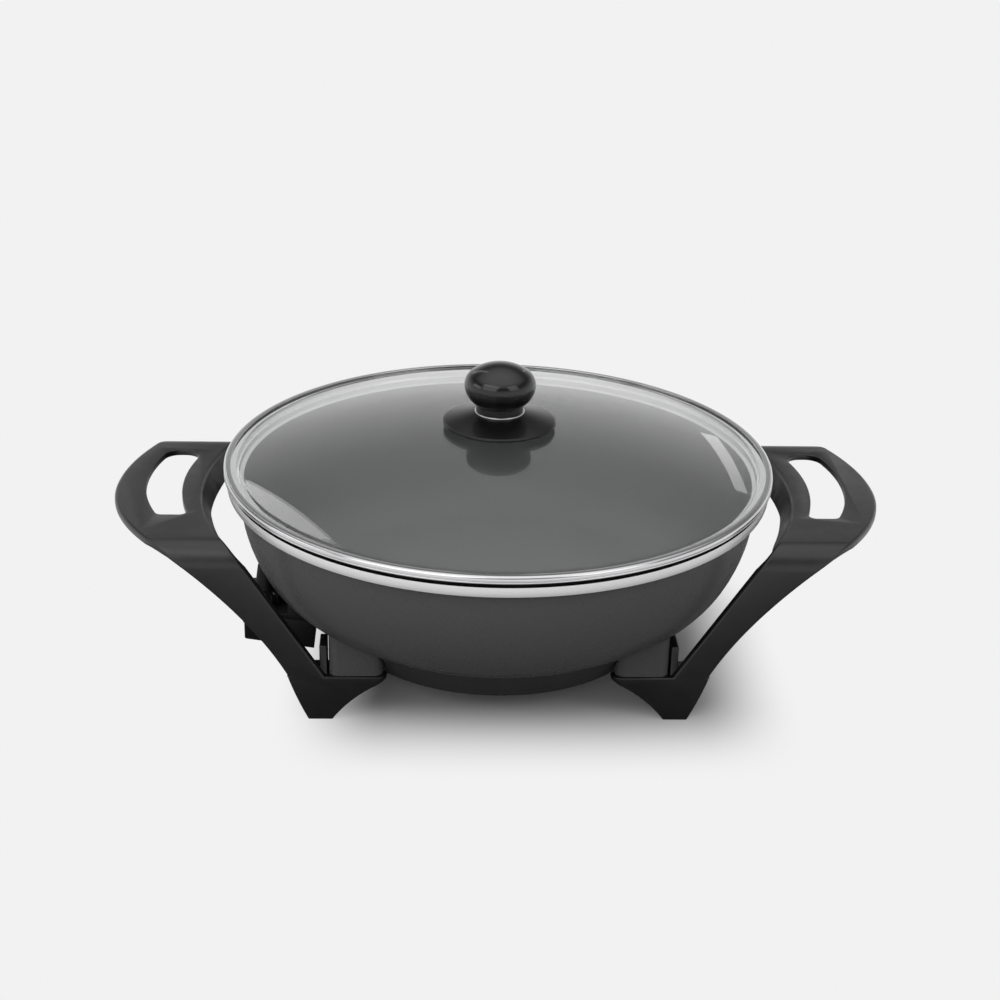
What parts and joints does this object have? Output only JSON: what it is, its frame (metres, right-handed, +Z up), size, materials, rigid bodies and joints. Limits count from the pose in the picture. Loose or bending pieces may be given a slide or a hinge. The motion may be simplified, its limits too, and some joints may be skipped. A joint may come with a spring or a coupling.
{
  "type": "electric wok",
  "caption": "Electric wok: a cast non-stick bowl on two black handle legs, a domed glass lid with a steel rim and round knob, and a plug-in heat control.",
  "frame": {"origin": "On the table top, directly under the centre of the bowl, midway between the feet.", "axes": "+X runs through the two handles towards the one without the heat control, +Y points away from the cook, +Z is up."},
  "size_m": [0.4768, 0.34, 0.1987],
  "materials": {
    "brass": "plain",
    "bright_trim": "polished",
    "cast_coated": "non-stick coated",
    "ceramic": "glazed",
    "clear_glass": "clear",
    "control_plastic": "satin",
    "cover_metal": "satin",
    "knob_plastic": "gloss",
    "leg_plastic": "satin",
    "phenolic": "matt",
    "red_lens": "translucent",
    "seal_rubber": "matt",
    "steel": "brushed",
    "zinc": "plated"
  },
  "bodies": {
    "wok": {"bowl": "cast_coated", "base_cover": "cover_metal", "base_cover_screws": "zinc", "handle_leg_right": "leg_plastic", "handle_leg_left": "leg_plastic", "leg_screws_left": "zinc", "leg_screws_right": "zinc", "heating_element": "steel", "terminal_pins": "zinc", "pin_insulators": "ceramic", "sensor_sleeve": "zinc", "pin_guard": "steel"},
    "lid": {"lid_glass": "clear_glass", "lid_rim": "bright_trim", "knob_gasket": "seal_rubber", "knob_skirt": "knob_plastic", "knob_trim_ring": "bright_trim", "lid_knob": "knob_plastic", "knob_insert": "brass", "under_gasket": "seal_rubber", "knob_washer": "steel", "knob_screw": "zinc"},
    "control": {"control_housing_lower": "control_plastic", "control_housing_upper": "control_plastic", "control_screws": "zinc", "sensor_rod": "steel", "contact_sleeves": "brass", "contact_block": "phenolic", "thermostat_frame": "steel", "bimetal_blade": "brass", "contact_arm": "brass", "pilot_lens": "red_lens", "pilot_lamp": "clear_glass", "cord_gland": "seal_rubber"},
    "dial": {"temperature_dial": "control_plastic", "dial_spindle": "steel"}
  },
  "joints": [
    {"name": "lid_lift", "type": "slide", "parent": "wok", "child": "lid", "axis": [0, 0, 1], "range_m": [0, 0.15]},
    {"name": "control_pull", "type": "slide", "parent": "wok", "child": "control", "axis": [-1, 0, 0], "range_m": [0, 0.07]},
    {"name": "dial_turn", "type": "hinge", "parent": "control", "child": "dial", "pos_m": [-0.147, 0, 0.0395], "axis": [0, 0, 1], "range_deg": [-270, 0]}
  ]
}
